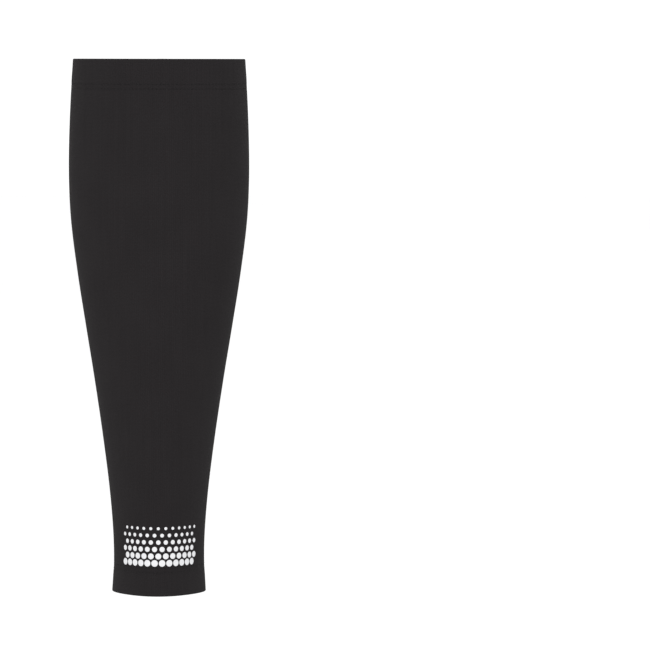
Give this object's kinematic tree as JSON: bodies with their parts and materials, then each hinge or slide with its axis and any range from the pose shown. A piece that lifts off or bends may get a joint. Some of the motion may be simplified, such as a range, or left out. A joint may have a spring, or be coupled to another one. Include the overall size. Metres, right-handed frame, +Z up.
{
  "type": "calf compression sleeve",
  "caption": "Knitted calf compression sleeve in its worn form: a tapered tube from the ankle to below the knee, open at both ends, with turned hems.",
  "frame": {"origin": "on the axis of the leg, level with the widest part of the calf", "axes": "+Z up the leg from the ankle edge to the top edge, -Y towards the shin, +Y towards the calf muscle, +X across"},
  "size_m": [0.117, 0.1205, 0.346],
  "materials": {
    "black_knit": "fine matt warp knit",
    "turned_knit": "matt back of the knit",
    "stitch_thread": "soft textured thread",
    "reflective_print": "thin matt silver white film"
  },
  "bodies": {
    "root": {"sleeve_body": "black_knit", "top_hem": "turned_knit", "ankle_hem": "turned_knit"}
  },
  "joints": []
}
